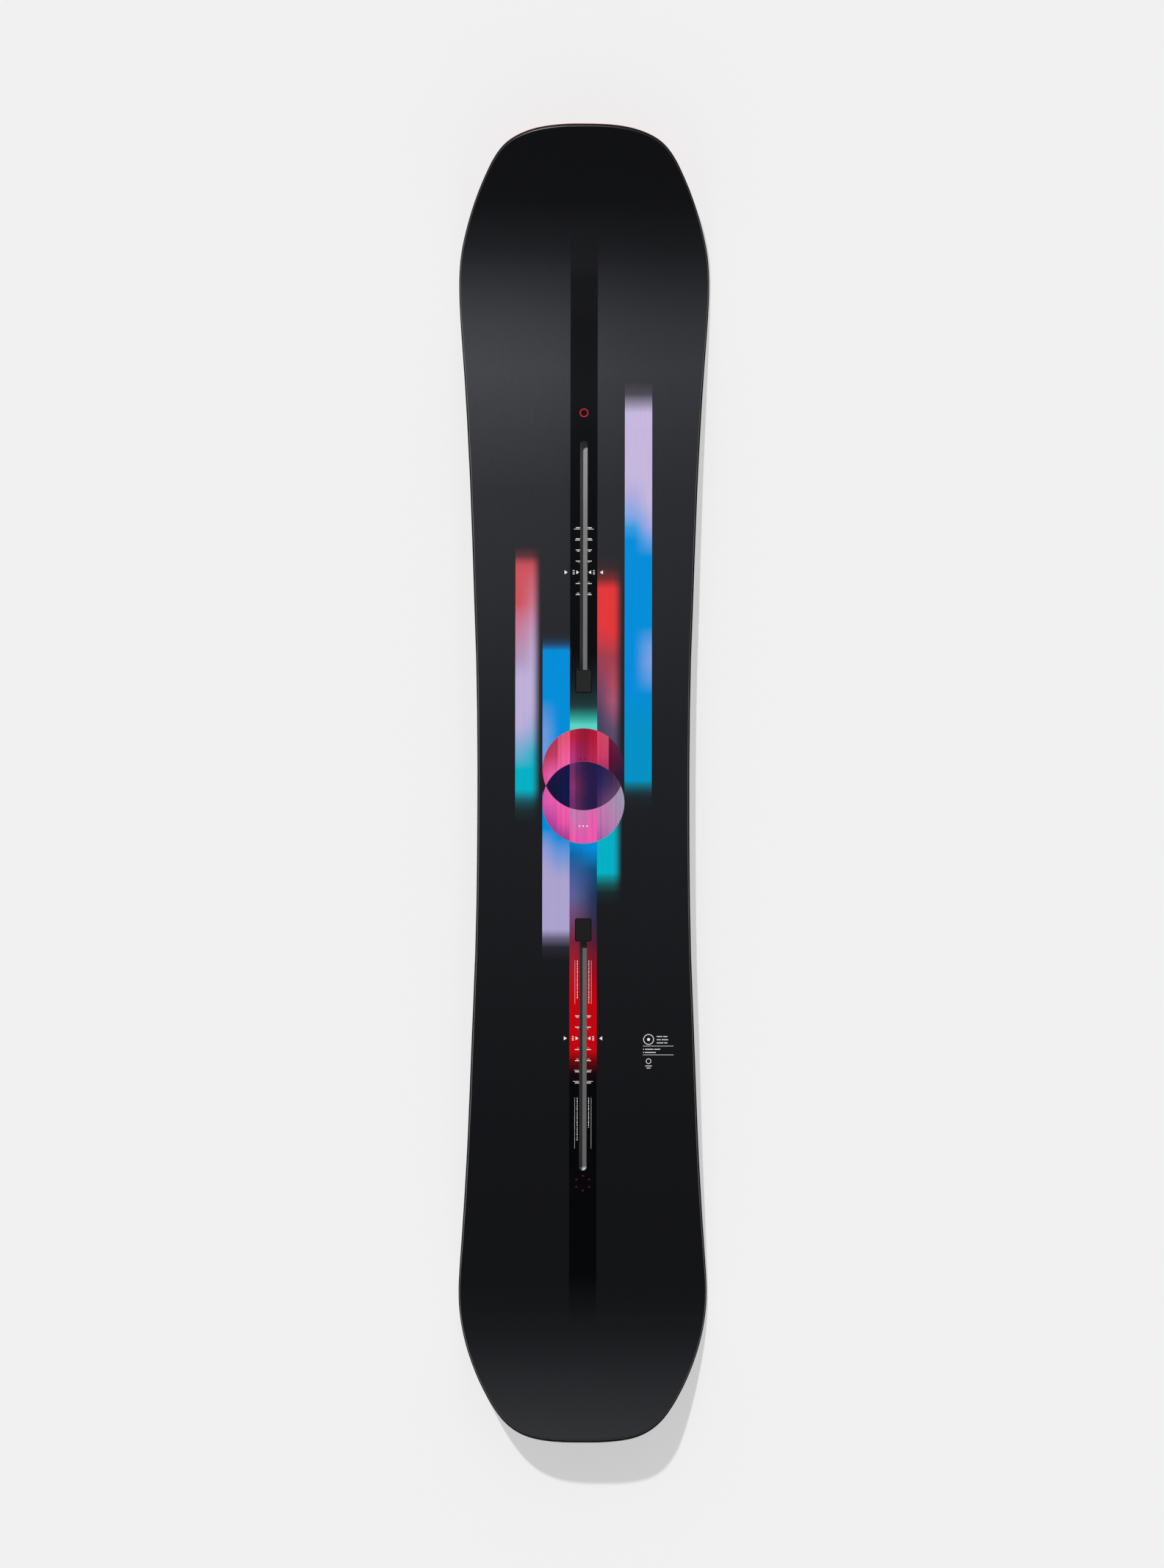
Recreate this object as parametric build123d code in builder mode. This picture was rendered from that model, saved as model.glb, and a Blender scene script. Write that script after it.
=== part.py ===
"""A bare all-mountain snowboard with a slotted binding channel under each foot and no bindings.

Frame: +Y towards the nose, +X towards the right-hand edge seen from above, +Z up, origin on the floor
under the middle of the overall length. Millimetres.

The board is a stack of thin layers. Depth is measured up from the running surface, square to it. A level
is (depth, follows_core): levels above the core keep their distance from its top, which thins towards the
tips. In side view the running surface is three tangent arcs: tail, camber and nose.
"""

import os
from math import asin, cos, radians, sin, tan

from build123d import *

# Side view
LENGTH = 1490.0
NOSE_REST_Y = 556.0
TAIL_REST_Y = -571.0
CAMBER = 9.0
NOSE_LIFT = 48.0
TAIL_LIFT = 44.0

# Right-hand half of the outline in plan, from the middle of the nose to the middle of the tail
NOSE_OUTLINE = [(0, 745), (45, 742.3), (69, 736), (86.5, 726.7), (98.5, 714.5), (108, 699), (117.5, 679)]
NOSE_FLANK = [(125.5, 658.8), (134, 631), (140.3, 601), (142.4, 565), (141.2, 532), (136.9, 472)]
FRONT_SIDECUT = [(132.9, 409), (128.3, 314), (125, 220.6), (122.1, 137), (120.6, 32), (120.6, -51)]
REAR_SIDECUT = [(121.4, -135), (123.6, -218), (127.1, -302), (130.3, -386), (134.7, -470), (139.5, -542)]
TAIL_FLANK = [(141.3, -577), (140, -603), (134.2, -634), (127, -657), (118.6, -677), (107.5, -698)]
TAIL_OUTLINE = [(97, -713.5), (85, -726.4), (70.4, -735.7), (46, -742.6), (0, -745)]
OUTLINE = NOSE_OUTLINE + NOSE_FLANK + FRONT_SIDECUT + REAR_SIDECUT + TAIL_FLANK + TAIL_OUTLINE

# Layers
BASE_THICKNESS = 1.2
GLASS_THICKNESS = 0.5
TOPSHEET_THICKNESS = 0.5
EDGE_HEIGHT = 2.1
CORE_THICK = 6.6
CORE_THIN = 2.2

# The core thins from TAPER_START each side of the stance centre to these values of Y
STANCE_Y = -25.3
TAPER_START = 430.0
NOSE_TAPER_END = 592.0
TAIL_TAPER_END = -604.0

# Rim, as widths measured in from the outline
EDGE_WIDTH = 2.0
FLANGE_WIDTH = 7.0
WALL_WIDTH = 8.0
WALL_SLANT = 8.0
BEVEL = 2.0
EDGE_WRAP_X = 108.0
RIM_X = 150.0

# Tips
NOSE_BASE_Y = 432.0
TAIL_BASE_Y = -446.0
CORE_END_R = 300.0
NOSE_CORE_END = 612.0
TAIL_CORE_END = -622.0
NOSE_SPACER_CUTS = [640, 680, 715]
TAIL_SPACER_CUTS = [-715, -680, -645]

# Core, as bands across the width and lengths along it, measured from the stance centre
POCKET_X = 12.0
STRINGER_X = 60.0
TOE_BLOCK_NEAR = 165.0
TOE_BLOCK_FAR = 365.0
TIP_LENGTH_FAR = 480.0

# Channels, measured from the stance centre
SLOT_WIDTH = 8.2
SLOT_END = 415.0
CAVITY_WIDTH = 14.5
CHANNEL_START = 118.0
CHANNEL_END = 421.0
OUTER_BLOCK_START = 407.0
FLOOR_THICKNESS = 0.8
LIP_THICKNESS = 1.6
PLUG_NEAR = 128.2
PLUG_FAR = 154.2
PLUG_WIDTH = 18.3
PLUG_CORNER = 2.0
PLUG_GAP = 0.3
PLUG_BOSS_MARGIN = 2.6
PLUG_BOSS_WIDTH = 13.8
PLUG_CHAMFER = 0.4

# Working margins
SIDE = 160.0
OVERRUN = 20.0
TALL = 100.0
MARGIN = 1.0
TAPER_STEPS = 8
RIM_WALLS = 24
RIM_STEPS = 6
HALF = LENGTH / 2

# Levels
CORE_FLOOR = BASE_THICKNESS + GLASS_THICKNESS
CORE_TOP = CORE_FLOOR + CORE_THICK
RUNNING_LEVEL = (0.0, False)
BASE_LEVEL = (BASE_THICKNESS, False)
CORE_FLOOR_LEVEL = (CORE_FLOOR, False)
EDGE_LEVEL = (EDGE_HEIGHT, False)
CORE_TOP_LEVEL = (CORE_TOP, True)
GLASS_LEVEL = (CORE_TOP + GLASS_THICKNESS, True)
DECK_LEVEL = (CORE_TOP + GLASS_THICKNESS + TOPSHEET_THICKNESS, True)
BEVEL_LEVEL = (DECK_LEVEL[0] - BEVEL, True)

# The channels lie where the core has its full thickness, so their levels need not follow it
CHANNEL_FLOOR_LEVEL = (CORE_FLOOR + FLOOR_THICKNESS, False)
LIP_LEVEL = (CORE_TOP - LIP_THICKNESS, False)
CHANNEL_TOP_LEVEL = (CORE_TOP, False)
PLUG_TOP_LEVEL = (DECK_LEVEL[0], False)


def tip_radius(rest_y, lift):
    """Radius of the arc that leaves the floor at rest_y and is lift high at the end of the board."""
    reach = HALF - abs(rest_y)
    return (reach**2 + lift**2) / (2 * lift)


# The camber arc is tangent to both tip arcs, and CAMBER high at its crest
NOSE_R = tip_radius(NOSE_REST_Y, NOSE_LIFT)
TAIL_R = tip_radius(TAIL_REST_Y, TAIL_LIFT)
REST_SPAN = NOSE_REST_Y - TAIL_REST_Y
NOSE_SPAN = (REST_SPAN + 2 * CAMBER * (NOSE_R - TAIL_R) / REST_SPAN) / 2
CREST_Y = NOSE_REST_Y - NOSE_SPAN
CAMBER_R = (NOSE_SPAN**2 + CAMBER**2) / (2 * CAMBER) - NOSE_R
NOSE_TANGENT_Y = CREST_Y + NOSE_SPAN * CAMBER_R / (CAMBER_R + NOSE_R)
TAIL_TANGENT_Y = CREST_Y - (REST_SPAN - NOSE_SPAN) * CAMBER_R / (CAMBER_R + TAIL_R)


def running_surface(y):
    """Height of the running surface at y, and its slope angle, positive where it climbs towards +Y."""
    if y > NOSE_TANGENT_Y:
        slope = asin((y - NOSE_REST_Y) / NOSE_R)
        return NOSE_R * (1 - cos(slope)), slope
    if y < TAIL_TANGENT_Y:
        slope = asin((y - TAIL_REST_Y) / TAIL_R)
        return TAIL_R * (1 - cos(slope)), slope
    slope = -asin((y - CREST_Y) / CAMBER_R)
    return CAMBER - CAMBER_R * (1 - cos(slope)), slope


def core_thickness(y):
    """Thickness of the wood core at y."""
    if y > STANCE_Y:
        start, end = STANCE_Y + TAPER_START, NOSE_TAPER_END
    else:
        start, end = STANCE_Y - TAPER_START, TAIL_TAPER_END
    t = min(max((y - start) / (end - start), 0), 1)
    return CORE_THICK + (CORE_THIN - CORE_THICK) * t * t * (3 - 2 * t)


def level_depth(level, y):
    """Depth of a level at y."""
    depth, follows_core = level
    return depth - (CORE_THICK - core_thickness(y)) * follows_core


def level_point(level, y):
    """(Y, Z) of the point on a level that stands square above the running surface at y."""
    z, slope = running_surface(y)
    depth = level_depth(level, y)
    return (y - depth * sin(slope), z + depth * cos(slope))


def draw_stretch(level, y_from, y_to):
    """One edge of a level's side view: an arc where its depth is constant, a spline where it tapers."""
    if level_depth(level, y_from) == level_depth(level, y_to):
        ThreePointArc(*[level_point(level, y) for y in (y_from, (y_from + y_to) / 2, y_to)])
        return
    stations = [y_from + (y_to - y_from) * k / TAPER_STEPS for k in range(TAPER_STEPS + 1)]
    headings = [(cos(slope), sin(slope)) for slope in (running_surface(y)[1] for y in (y_from, y_to))]
    Spline(*[level_point(level, y) for y in stations], tangents=headings)


def draw_level(level):
    """The whole side view of a level, from tail to nose."""
    tapers = [TAIL_TAPER_END, STANCE_Y - TAPER_START, STANCE_Y + TAPER_START, NOSE_TAPER_END]
    breaks = tapers if level[1] else [TAIL_TANGENT_Y, NOSE_TANGENT_Y]
    stops = [-HALF - OVERRUN, *breaks, HALF + OVERRUN]
    for y_from, y_to in zip(stops, stops[1:]):
        draw_stretch(level, y_from, y_to)


def slab(low, high, x_from=-SIDE, x_to=SIDE):
    """The space between two levels, a little longer than the board, from x_from to x_to."""
    with BuildPart() as block:
        with BuildSketch(Plane.YZ.offset(x_from)):
            with BuildLine():
                draw_level(low)
                draw_level(high)
                for y in (-HALF - OVERRUN, HALF + OVERRUN):
                    Line(level_point(low, y), level_point(high, y))
            make_face()
        extrude(amount=x_to - x_from)
    return block.part


def plan_outline():
    """The whole outline in plan as one closed curve, starting at the middle of the nose."""
    left = [(-x, y) for x, y in reversed(OUTLINE[1:-1])]
    return Edge.make_spline(OUTLINE + left, periodic=True)


def rim_points(plan, inset, lean, level):
    """Points round the rim on a level, moved in by inset in plan and by lean(depth) along the surface."""
    count = RIM_WALLS * RIM_STEPS
    points = []
    for k in range(count):
        here, along = plan @ (k / count), plan % (k / count)
        out_x, out_y = -along.Y, along.X
        x, y = here.X - inset * out_x, here.Y - inset * out_y
        z, slope = running_surface(y)
        depth = level_depth(level, y)
        outward = Vector(out_x, out_y, out_y * tan(slope)).normalized()
        back = lean(depth)
        points.append(Vector(
            x - back * outward.X,
            y - depth * sin(slope) - back * outward.Y,
            z + depth * cos(slope) - back * outward.Z,
        ))
    return points


def rim_curves(points):
    """A closed smooth line through points, as RIM_WALLS edges that run into each other."""
    count = len(points)
    loop = points + points
    edges = []
    for start in range(0, count, RIM_STEPS):
        end = start + RIM_STEPS
        headings = [(loop[k + 1] - loop[k - 1]).normalized() for k in (start + count, end)]
        edges.append(Edge.make_spline(loop[start:end + 1], tangents=headings))
    return edges


def within(rungs):
    """The board's whole thickness inside a wall round the rim. Each rung is (inset, lean, level)."""
    plan = plan_outline()
    lines = [rim_curves(rim_points(plan, *rung)) for rung in rungs]
    walls = []
    for low, high in zip(lines, lines[1:]):
        walls += [Face.make_surface_from_curves(a, b) for a, b in zip(low, high)]
    block = slab((-MARGIN / 2, False), (DECK_LEVEL[0] + MARGIN / 2, True))
    pieces = split(block, bisect_by=Shell(walls), keep=Keep.ALL, mode=Mode.PRIVATE)
    return pieces.solids().sort_by(SortBy.VOLUME)[-1]


def upright(depth):
    """No lean: the wall stands square to the running surface."""
    return 0.0


def sidewall_lean(depth):
    """The wall above the steel edge leans inwards."""
    return (depth - EDGE_HEIGHT) * tan(radians(WALL_SLANT))


def bevel_lean(depth):
    """The line MARGIN above the deck that carries the 45 degree bevel on past the topsheet."""
    return sidewall_lean(depth - BEVEL - MARGIN) + BEVEL + MARGIN


def inner_block(inset):
    """Everything more than inset from the outline."""
    low, high = (-MARGIN, False), (DECK_LEVEL[0] + MARGIN, True)
    return within([(inset, upright, low), (inset, upright, high)])


def whole_board():
    """The outer shape: square edge, leaning sidewall and bevelled top corner."""
    return within([
        (0, upright, (-MARGIN, False)),
        (0, upright, EDGE_LEVEL),
        (0, sidewall_lean, BEVEL_LEVEL),
        (0, bevel_lean, (DECK_LEVEL[0] + MARGIN, True)),
    ])


def core_zone():
    """Everything between the rounded ends of the core, seen from above."""
    with BuildPart() as zone:
        with BuildSketch(Plane.XY.offset(-MARGIN)):
            with BuildLine():
                corners = []
                for end in (NOSE_CORE_END, TAIL_CORE_END):
                    sign = 1 if end > 0 else -1
                    corner_y = end - sign * (CORE_END_R - (CORE_END_R**2 - SIDE**2) ** 0.5)
                    ThreePointArc((-SIDE, corner_y), (0, end), (SIDE, corner_y))
                    corners.append(corner_y)
                for x in (-SIDE, SIDE):
                    Line((x, corners[0]), (x, corners[1]))
            make_face()
        extrude(amount=TALL)
    return zone.part


def cut_lengths(stations):
    """Cut the part being built square across at each Y, into solids that butt together."""
    for y in stations:
        split(bisect_by=Plane(origin=(0, y, 0), x_dir=(1, 0, 0), z_dir=(0, 1, 0)), keep=Keep.BOTH)


def cut_band(x_from, x_to, y_from, y_to):
    """Keep what lies between two values of X and two of Y."""
    with Locations(((x_from + x_to) / 2, (y_from + y_to) / 2, TALL / 2 - MARGIN)):
        Box(x_to - x_from, y_to - y_from, TALL, mode=Mode.INTERSECT)


def foot_y(foot, distance):
    """Y at a distance from the stance centre, towards the nose if foot is 1 and the tail if it is -1."""
    return STANCE_Y + foot * distance


def foot_span(foot, near, far):
    """The two values of Y, in rising order, at two distances from the stance centre."""
    return sorted((foot_y(foot, near), foot_y(foot, far)))


def slot_cut(foot):
    """Cut the long slot of one channel from above, from the plug's pocket to its round outer end."""
    near, far = foot_y(foot, PLUG_NEAR + SLOT_WIDTH / 2), foot_y(foot, SLOT_END - SLOT_WIDTH / 2)
    with BuildSketch(Plane.XY.offset(-MARGIN)) as slot:
        with Locations((0, (near + far) / 2)):
            SlotCenterToCenter(abs(far - near), SLOT_WIDTH, rotation=90)
    extrude(slot.sketch, amount=TALL, mode=Mode.SUBTRACT)


def pocket_cut(foot):
    """Cut the pocket that the channel plug sits in."""
    with BuildSketch(Plane.XY.offset(-MARGIN)) as pocket:
        with Locations((0, foot_y(foot, (PLUG_NEAR + PLUG_FAR) / 2))):
            RectangleRounded(
                PLUG_WIDTH + 2 * PLUG_GAP, PLUG_FAR - PLUG_NEAR + 2 * PLUG_GAP, PLUG_CORNER + PLUG_GAP
            )
    extrude(pocket.sketch, amount=TALL, mode=Mode.SUBTRACT)


def write(name, piece):
    """Label a finished part and write it to its STEP file."""
    piece.label = name
    export_step(piece, f"parts/{name}.step")
    print(name, len(piece.solids()), "solids", round(piece.volume), "mm3")


def write_pair(name, right):
    """Write a right-hand part and its left-hand mirror image."""
    write(f"{name}_right", right)
    write(f"{name}_left", mirrored(right))


def mirrored(piece):
    """The left-hand copy of a right-hand part."""
    return mirror(piece, about=Plane.YZ, mode=Mode.PRIVATE)


def add_both_sides(low, high, shape):
    """Add what a shape holds of the space between two levels beyond EDGE_WRAP_X, on both sides."""
    with BuildPart(mode=Mode.PRIVATE) as right:
        add(slab(low, high, EDGE_WRAP_X, RIM_X))
        add(shape, mode=Mode.INTERSECT)
    add(right.part)
    add(mirrored(right.part))


def make_steel_edge(board, inside_edge, inside_flange):
    """The right-hand steel edge: a square bar flush with the base and a thin flange let in over it."""
    with BuildPart() as edge:
        add(slab(RUNNING_LEVEL, EDGE_LEVEL, EDGE_WRAP_X, RIM_X))
        add(board, mode=Mode.INTERSECT)
        add(inside_edge, mode=Mode.SUBTRACT)
    with BuildPart() as flange:
        add(slab(BASE_LEVEL, CORE_FLOOR_LEVEL, EDGE_WRAP_X, RIM_X))
        add(inside_edge, mode=Mode.INTERSECT)
        add(inside_flange, mode=Mode.SUBTRACT)
    with BuildPart() as steel_edge:
        add(edge.part)
        add(flange.part)
    return steel_edge.part


def make_edge_foil(inside_edge, inside_wall):
    """The right-hand rubber foil that lies on the flange under the sidewall."""
    with BuildPart() as foil:
        add(slab(CORE_FLOOR_LEVEL, EDGE_LEVEL, EDGE_WRAP_X, RIM_X))
        add(inside_edge, mode=Mode.INTERSECT)
        add(inside_wall, mode=Mode.SUBTRACT)
    return foil.part


def make_base(board, inside_edge):
    """The running base in three die-cut panels: tail, centre and nose."""
    with BuildPart() as base:
        add(slab(RUNNING_LEVEL, BASE_LEVEL, -EDGE_WRAP_X, EDGE_WRAP_X))
        add(board, mode=Mode.INTERSECT)
        add_both_sides(RUNNING_LEVEL, BASE_LEVEL, inside_edge)
        cut_lengths([TAIL_BASE_Y, NOSE_BASE_Y])
    return base.part.solids().sort_by(Axis.Y)


def make_bottom_laminate(board, inside_flange):
    """The glass laminate over the base, between the flanges of the edges."""
    with BuildPart() as laminate:
        add(slab(BASE_LEVEL, CORE_FLOOR_LEVEL, -EDGE_WRAP_X, EDGE_WRAP_X))
        add(board, mode=Mode.INTERSECT)
        add_both_sides(BASE_LEVEL, CORE_FLOOR_LEVEL, inside_flange)
    return laminate.part


def make_spacers(board, zone, inside_wall):
    """The tip spacers that carry on from the ends of the core, each laid in strips across the tip."""
    with BuildPart() as spacers:
        add(slab(CORE_FLOOR_LEVEL, CORE_TOP_LEVEL, -EDGE_WRAP_X, EDGE_WRAP_X))
        add(board, mode=Mode.INTERSECT)
        add_both_sides(EDGE_LEVEL, CORE_TOP_LEVEL, board)
        add_both_sides(CORE_FLOOR_LEVEL, EDGE_LEVEL, inside_wall)
        add(zone, mode=Mode.SUBTRACT)
        cut_lengths([*TAIL_SPACER_CUTS, *NOSE_SPACER_CUTS])
    strips = spacers.part.solids()
    return [Compound([s for s in strips if sign * s.center().Y > 0]) for sign in (1, -1)]


def make_sidewall(board, inside_wall, zone, stations):
    """The right-hand sidewall on top of the steel edge, laid in butted lengths."""
    with BuildPart() as sidewall:
        add(slab(EDGE_LEVEL, CORE_TOP_LEVEL, EDGE_WRAP_X, RIM_X))
        add(board, mode=Mode.INTERSECT)
        add(inside_wall, mode=Mode.SUBTRACT)
        add(zone, mode=Mode.INTERSECT)
        cut_lengths(stations)
    return sidewall.part


def make_core_band(x_from, x_to, inside_wall, zone, stations):
    """A lengthwise band of the wood core, in end-jointed lengths."""
    with BuildPart() as band:
        add(slab(CORE_FLOOR_LEVEL, CORE_TOP_LEVEL, x_from, x_to))
        add(inside_wall, mode=Mode.INTERSECT)
        add(zone, mode=Mode.INTERSECT)
        cut_lengths(stations)
    return band.part


def make_centre_strip(zone):
    """The middle strip of the core: between the two channels, and from each channel to the core's end."""
    with BuildPart() as strip:
        add(slab(CORE_FLOOR_LEVEL, CORE_TOP_LEVEL, -POCKET_X, POCKET_X))
        add(zone, mode=Mode.INTERSECT)
        for foot in (1, -1):
            y_from, y_to = foot_span(foot, CHANNEL_START, CHANNEL_END)
            with Locations((0, (y_from + y_to) / 2, TALL / 2 - MARGIN)):
                Box(2 * POCKET_X, y_to - y_from, TALL, mode=Mode.SUBTRACT)
        cut_lengths([foot_y(1, TIP_LENGTH_FAR), foot_y(-1, TIP_LENGTH_FAR)])
    return strip.part


def make_channel_floor(foot):
    """The thin metal floor of a channel."""
    with BuildPart() as floor:
        add(slab(CORE_FLOOR_LEVEL, CHANNEL_FLOOR_LEVEL, -POCKET_X, POCKET_X))
        cut_band(-POCKET_X, POCKET_X, *foot_span(foot, CHANNEL_START, CHANNEL_END))
    return floor.part


def make_channel_rails(foot):
    """The two upright rails that form the sides of a channel's cavity."""
    with BuildPart() as rails:
        add(slab(CHANNEL_FLOOR_LEVEL, LIP_LEVEL, -POCKET_X, POCKET_X))
        cut_band(-POCKET_X, POCKET_X, *foot_span(foot, PLUG_NEAR - PLUG_GAP, OUTER_BLOCK_START))
        with Locations((0, 0, TALL / 2 - MARGIN)):
            Box(CAVITY_WIDTH, LENGTH, TALL, mode=Mode.SUBTRACT)
    return rails.part


def make_channel_lips(foot):
    """The two strips on top of the rails that a channel nut pulls up against, notched for the plug."""
    notch_far = PLUG_FAR + PLUG_GAP
    with BuildPart() as lips:
        add(slab(LIP_LEVEL, CHANNEL_TOP_LEVEL, -POCKET_X, POCKET_X))
        cut_band(-POCKET_X, POCKET_X, *foot_span(foot, PLUG_NEAR - PLUG_GAP, OUTER_BLOCK_START))
        slot_cut(foot)
        with Locations((0, foot_y(foot, (CHANNEL_START + notch_far) / 2), TALL / 2 - MARGIN)):
            Box(PLUG_WIDTH + 2 * PLUG_GAP, notch_far - CHANNEL_START, TALL, mode=Mode.SUBTRACT)
    return lips.part


def make_channel_end_blocks(foot):
    """The moulded blocks that close a channel at both ends. The outer one has the slot's round end."""
    with BuildPart() as blocks:
        add(slab(CHANNEL_FLOOR_LEVEL, CHANNEL_TOP_LEVEL, -POCKET_X, POCKET_X))
        cut_band(-POCKET_X, POCKET_X, *foot_span(foot, CHANNEL_START, CHANNEL_END))
        with Locations((0, foot_y(foot, (PLUG_NEAR - PLUG_GAP + OUTER_BLOCK_START) / 2), TALL / 2 - MARGIN)):
            Box(2 * POCKET_X, OUTER_BLOCK_START - PLUG_NEAR + PLUG_GAP, TALL, mode=Mode.SUBTRACT)
        slot_cut(foot)
    return blocks.part


def make_top_skin(board, low, high):
    """A full-size skin above the core with both slots and plug pockets cut through it."""
    with BuildPart() as skin:
        add(slab(low, high))
        add(board, mode=Mode.INTERSECT)
        for foot in (1, -1):
            slot_cut(foot)
            pocket_cut(foot)
    return skin.part


def make_plug(foot):
    """The plug that closes the wide end of a channel: a head flush with the deck and a boss below it."""
    y_mid = foot_y(foot, (PLUG_NEAR + PLUG_FAR) / 2)
    length = PLUG_FAR - PLUG_NEAR
    head_level = (LIP_LEVEL[0] + PLUG_GAP, False)
    boss_level = (CHANNEL_FLOOR_LEVEL[0] + PLUG_GAP, False)
    with BuildPart() as head:
        add(slab(head_level, PLUG_TOP_LEVEL, -POCKET_X, POCKET_X))
        with BuildSketch(Plane.XY.offset(-MARGIN)):
            with Locations((0, y_mid)):
                RectangleRounded(PLUG_WIDTH, length, PLUG_CORNER)
        extrude(amount=TALL, mode=Mode.INTERSECT)
        chamfer(head.faces().sort_by(Axis.Z)[-1].edges(), PLUG_CHAMFER)
    with BuildPart() as boss:
        add(slab(boss_level, head_level, -POCKET_X, POCKET_X))
        with BuildSketch(Plane.XY.offset(-MARGIN)):
            with Locations((0, y_mid)):
                RectangleRounded(PLUG_BOSS_WIDTH, length - 2 * PLUG_BOSS_MARGIN, PLUG_CORNER)
        extrude(amount=TALL, mode=Mode.INTERSECT)
    with BuildPart() as plug:
        add(head.part)
        add(boss.part)
    return plug.part


def main():
    os.makedirs("parts", exist_ok=True)
    board = whole_board()
    inside_edge, inside_flange, inside_wall = [
        inner_block(inset) for inset in (EDGE_WIDTH, FLANGE_WIDTH, WALL_WIDTH)
    ]
    zone = core_zone()

    write_pair("steel_edge", make_steel_edge(board, inside_edge, inside_flange))
    write_pair("edge_foil", make_edge_foil(inside_edge, inside_wall))
    for name, panel in zip(("base_tail", "base_centre", "base_nose"), make_base(board, inside_edge)):
        write(name, panel)
    write("bottom_laminate", make_bottom_laminate(board, inside_flange))
    nose_spacer, tail_spacer = make_spacers(board, zone, inside_wall)
    write("nose_spacer", nose_spacer)
    write("tail_spacer", tail_spacer)

    stations = [STANCE_Y]
    for far in (TOE_BLOCK_NEAR, TOE_BLOCK_FAR, TIP_LENGTH_FAR):
        stations += [foot_y(1, far), foot_y(-1, far)]
    write_pair("sidewall", make_sidewall(board, inside_wall, zone, stations))
    write("core_centre_strip", make_centre_strip(zone))
    write_pair("core_stringers", make_core_band(POCKET_X, STRINGER_X, inside_wall, zone, stations))
    outer = make_core_band(STRINGER_X, SIDE, inside_wall, zone, stations)
    blocks, rails = [], []
    for length in outer.solids():
        away = abs(length.center().Y - STANCE_Y)
        (blocks if TOE_BLOCK_NEAR < away < TOE_BLOCK_FAR else rails).append(length)
    write_pair("core_cross_grain_blocks", Compound(blocks))
    write_pair("core_edge_rails", Compound(rails))

    for end, foot in (("nose", 1), ("tail", -1)):
        write(f"{end}_channel_floor", make_channel_floor(foot))
        write(f"{end}_channel_rails", make_channel_rails(foot))
        write(f"{end}_channel_lips", make_channel_lips(foot))
        write(f"{end}_channel_end_blocks", make_channel_end_blocks(foot))
        write(f"{end}_channel_plug", make_plug(foot))
    write("top_laminate", make_top_skin(board, CORE_TOP_LEVEL, GLASS_LEVEL))
    write("topsheet", make_top_skin(board, GLASS_LEVEL, DECK_LEVEL))


if __name__ == "__main__":
    main()
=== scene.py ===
"""Looks of the bare snowboard: its printed deck, channels, plugs, edges and base, on a pale studio floor.

Plan positions on the deck are in millimetres, x to the right of the centre line and y towards the nose, as
in the frame. Colours are sRGB triples as seen under the studio light, and albedo() makes them linear.
"""

from math import cos, pi, radians, sin

import bmesh
import bpy
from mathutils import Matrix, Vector
from mathutils.bvhtree import BVHTree


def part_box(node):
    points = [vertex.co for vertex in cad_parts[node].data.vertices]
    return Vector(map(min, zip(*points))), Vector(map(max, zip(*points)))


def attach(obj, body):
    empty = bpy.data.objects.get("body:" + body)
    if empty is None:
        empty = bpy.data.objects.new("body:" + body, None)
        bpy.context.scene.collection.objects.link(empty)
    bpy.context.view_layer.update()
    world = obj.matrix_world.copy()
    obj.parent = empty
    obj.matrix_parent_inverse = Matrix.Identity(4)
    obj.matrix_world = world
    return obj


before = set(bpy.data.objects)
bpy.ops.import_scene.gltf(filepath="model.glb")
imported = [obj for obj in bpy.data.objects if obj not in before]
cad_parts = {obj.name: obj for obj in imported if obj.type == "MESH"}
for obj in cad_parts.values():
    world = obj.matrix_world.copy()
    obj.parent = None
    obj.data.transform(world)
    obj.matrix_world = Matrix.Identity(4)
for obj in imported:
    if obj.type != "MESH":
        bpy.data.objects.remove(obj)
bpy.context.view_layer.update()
MM = 0.001

# Camera: looking straight down from above the middle of the board, a hair off centre and turned. Its lens
# gives the frame PIXELS_PER_METRE at the floor.
CAMERA_HEIGHT = 5.0
FRAME_LONG_SIDE = 2136
PIXELS_PER_METRE = 1195.2
SENSOR = 36.0
CAMERA_PLACE = (-0.0016, -0.0008)
CAMERA_ROLL = radians(0.094)

# Studio
FLOOR_SIZE = 60.0
FLOOR_ALBEDO = 0.38
FLOOR_GLOW = 0.493
KEY_ELEVATION = radians(38)
KEY_LEFT_OF_NOSE = radians(23)
KEY_WIDTH = radians(2.6)
KEY_STRENGTH = 3.4

# Sky: dark overhead and bright low down, and at the horizon as pale as the floor, so that no seam shows.
# Its levels are (sine of the height above the horizon, level).
SKY_OVERHEAD = 0.042
SKY_LOW = 0.75
SKY_HORIZON = 0.87
SKY_LEVELS = [(0.06, SKY_HORIZON), (0.12, SKY_LOW), (0.45, SKY_LOW), (0.85, SKY_OVERHEAD)]

# Print: five equal columns side by side across the centre line, and two discs on it
COLUMN = 31.0
# A soft side fades between two distances from its edge. Other edges blur a little to both sides of theirs.
SOFT_FROM = 13.8
SOFT_TO = 1.8
CRISP = 0.2
DISC_R = 46.5
UPPER_DISC_Y = 15.9
LOWER_DISC_Y = -21.9

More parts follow.
